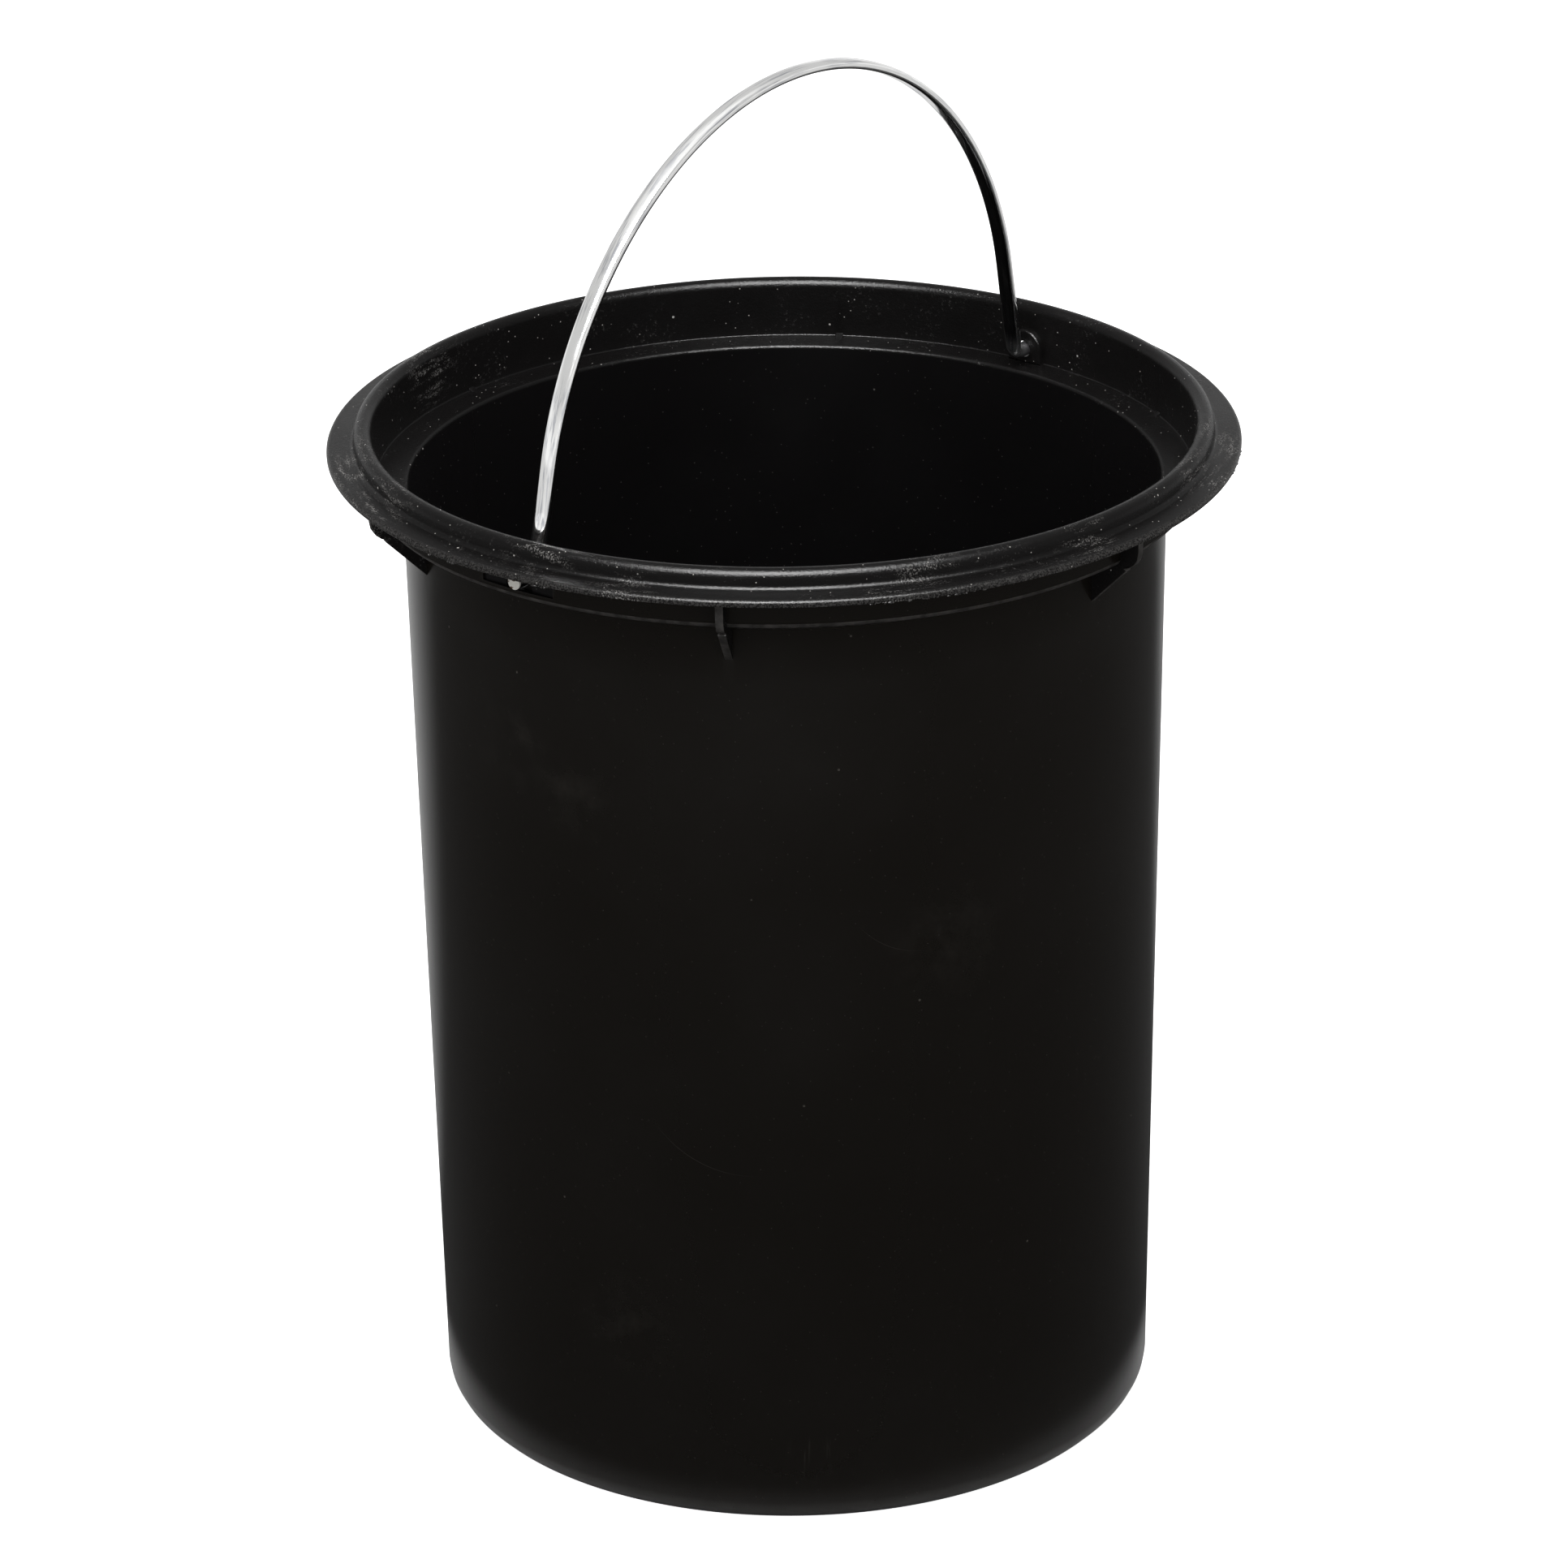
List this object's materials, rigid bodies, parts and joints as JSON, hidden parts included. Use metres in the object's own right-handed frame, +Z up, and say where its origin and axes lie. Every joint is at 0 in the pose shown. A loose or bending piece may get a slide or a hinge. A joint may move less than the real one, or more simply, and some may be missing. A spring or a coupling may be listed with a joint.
{
  "type": "florist bucket",
  "caption": "Round plastic bucket with a straight tapered body, a flat hanging flange under a beaded rim, and a swinging wire bail that folds down inside the neck.",
  "frame": {"origin": "centre of the bucket on the surface it stands on", "axes": "+Z up the bucket's axis; the bail turns about a line along Y, so it swings towards +X and -X"},
  "size_m": [0.26, 0.26, 0.4033],
  "materials": {
    "bucket_plastic": "satin",
    "bail_wire": "polished"
  },
  "bodies": {
    "bucket": {"bucket_moulding": "bucket_plastic"},
    "bail": {"wire_bail": "bail_wire"}
  },
  "joints": [
    {"name": "bail_swing", "type": "hinge", "parent": "bucket", "child": "bail", "pos_m": [0, 0, 0.2874], "axis": [0, 1, 0], "range_deg": [-91.45, 88.55]}
  ]
}
